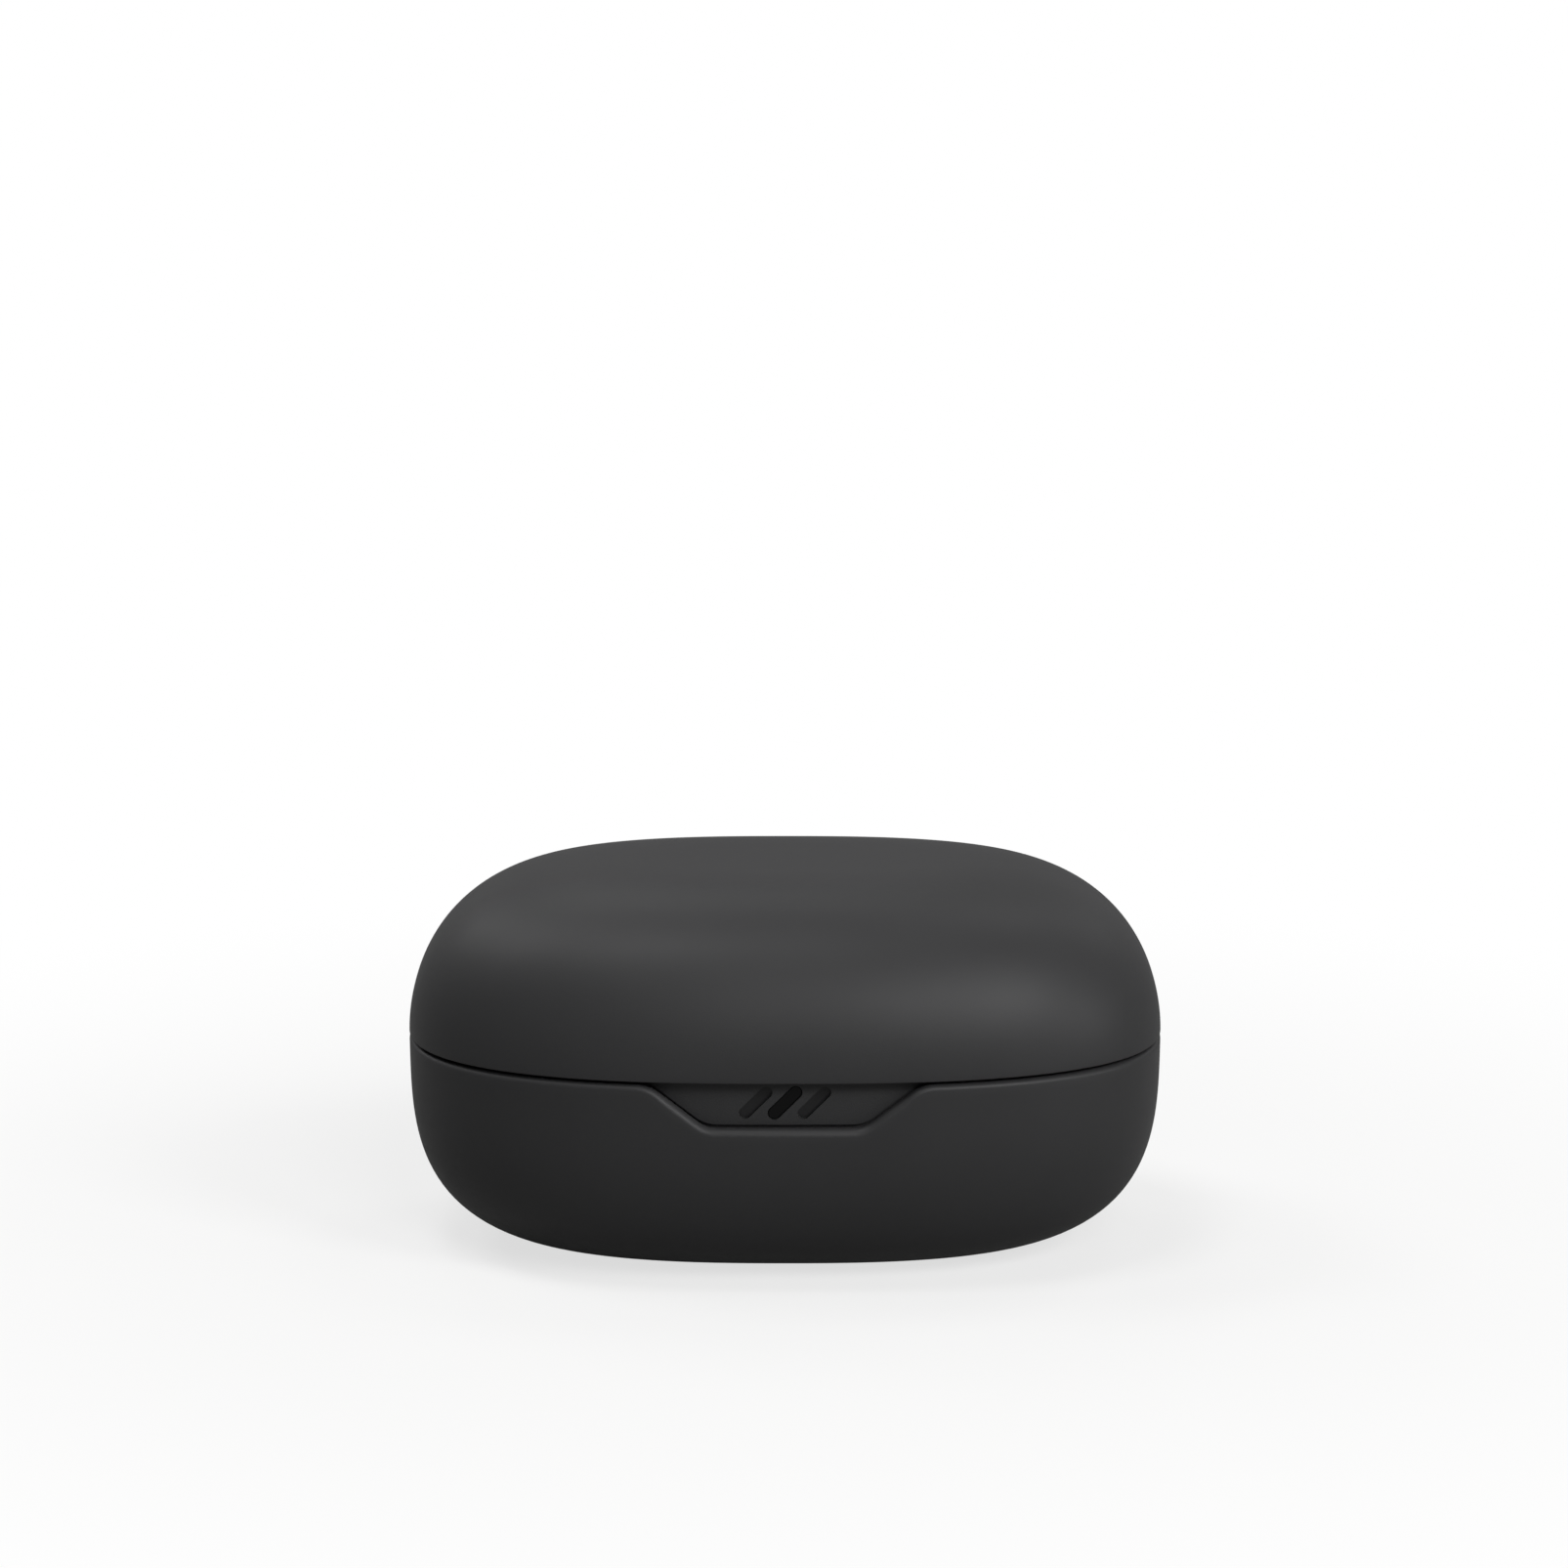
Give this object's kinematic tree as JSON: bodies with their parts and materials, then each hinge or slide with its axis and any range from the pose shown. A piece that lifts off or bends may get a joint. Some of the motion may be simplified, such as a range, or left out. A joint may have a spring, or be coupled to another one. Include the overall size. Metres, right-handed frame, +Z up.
{
  "type": "wireless earbuds charging case",
  "caption": "Pebble-shaped pocket charging case for earbuds: hinged lid with catch magnets, cradle tray with wells, sprung contacts, battery and charging port.",
  "frame": {"origin": "middle of the flat underside", "axes": "+X along the width to the right of the front, +Y towards the hinge at the back, +Z up"},
  "size_m": [0.062, 0.041, 0.0318],
  "materials": {
    "shell_plastic": "soft-touch matte charcoal",
    "tray_plastic": "fine satin black",
    "lens_plastic": "smoked black, glossy",
    "circuit_board": "green solder mask",
    "chip_plastic": "moulded epoxy",
    "led_plastic": "milky phosphor",
    "copper_flex": "amber film on copper",
    "steel": "bright drawn",
    "nickel": "nickel plate",
    "gold": "gold plate",
    "foil": "satin pouch foil",
    "foam": "closed-cell foam",
    "ferrite": "pressed ferrite",
    "lead_rubber": "silicone sleeve"
  },
  "bodies": {
    "base": {"base_shell": "shell_plastic", "cradle_tray": "tray_plastic", "light_guide": "lens_plastic", "indicator_led": "led_plastic", "led_board": "circuit_board", "led_flex": "copper_flex", "main_board": "circuit_board", "usb_shell": "steel", "usb_tongue": "chip_plastic", "charge_chip": "chip_plastic", "power_inductor": "ferrite", "hall_sensor": "chip_plastic", "battery_cell": "foil", "battery_pad": "foam", "battery_leads": "lead_rubber", "board_screws": "steel", "tray_magnets": "nickel", "earbud_magnets": "nickel", "contact_barrels": "gold", "hinge_pin": "steel"},
    "lid": {"lid_shell": "shell_plastic", "lid_liner": "tray_plastic", "lid_magnets": "nickel", "sensor_magnet": "nickel"},
    "contact_left_outer_plunger": {"contact_left_outer": "gold"},
    "contact_left_inner_plunger": {"contact_left_inner": "gold"},
    "contact_right_inner_plunger": {"contact_right_inner": "gold"},
    "contact_right_outer_plunger": {"contact_right_outer": "gold"}
  },
  "joints": [
    {"name": "lid_hinge", "type": "hinge", "parent": "base", "child": "lid", "pos_m": [0, 0.019, 0.0176], "axis": [-1, 0, 0], "range_deg": [0, 95]},
    {"name": "contact_left_outer_press", "type": "slide", "parent": "base", "child": "contact_left_outer_plunger", "axis": [0, 0, 1], "range_m": [-0.0009, 0], "stiffness_N_per_m": 600, "springref_m": 0.0004},
    {"name": "contact_left_inner_press", "type": "slide", "parent": "base", "child": "contact_left_inner_plunger", "axis": [0, 0, 1], "range_m": [-0.0009, 0], "stiffness_N_per_m": 600, "springref_m": 0.0004},
    {"name": "contact_right_inner_press", "type": "slide", "parent": "base", "child": "contact_right_inner_plunger", "axis": [0, 0, 1], "range_m": [-0.0009, 0], "stiffness_N_per_m": 600, "springref_m": 0.0004},
    {"name": "contact_right_outer_press", "type": "slide", "parent": "base", "child": "contact_right_outer_plunger", "axis": [0, 0, 1], "range_m": [-0.0009, 0], "stiffness_N_per_m": 600, "springref_m": 0.0004}
  ]
}
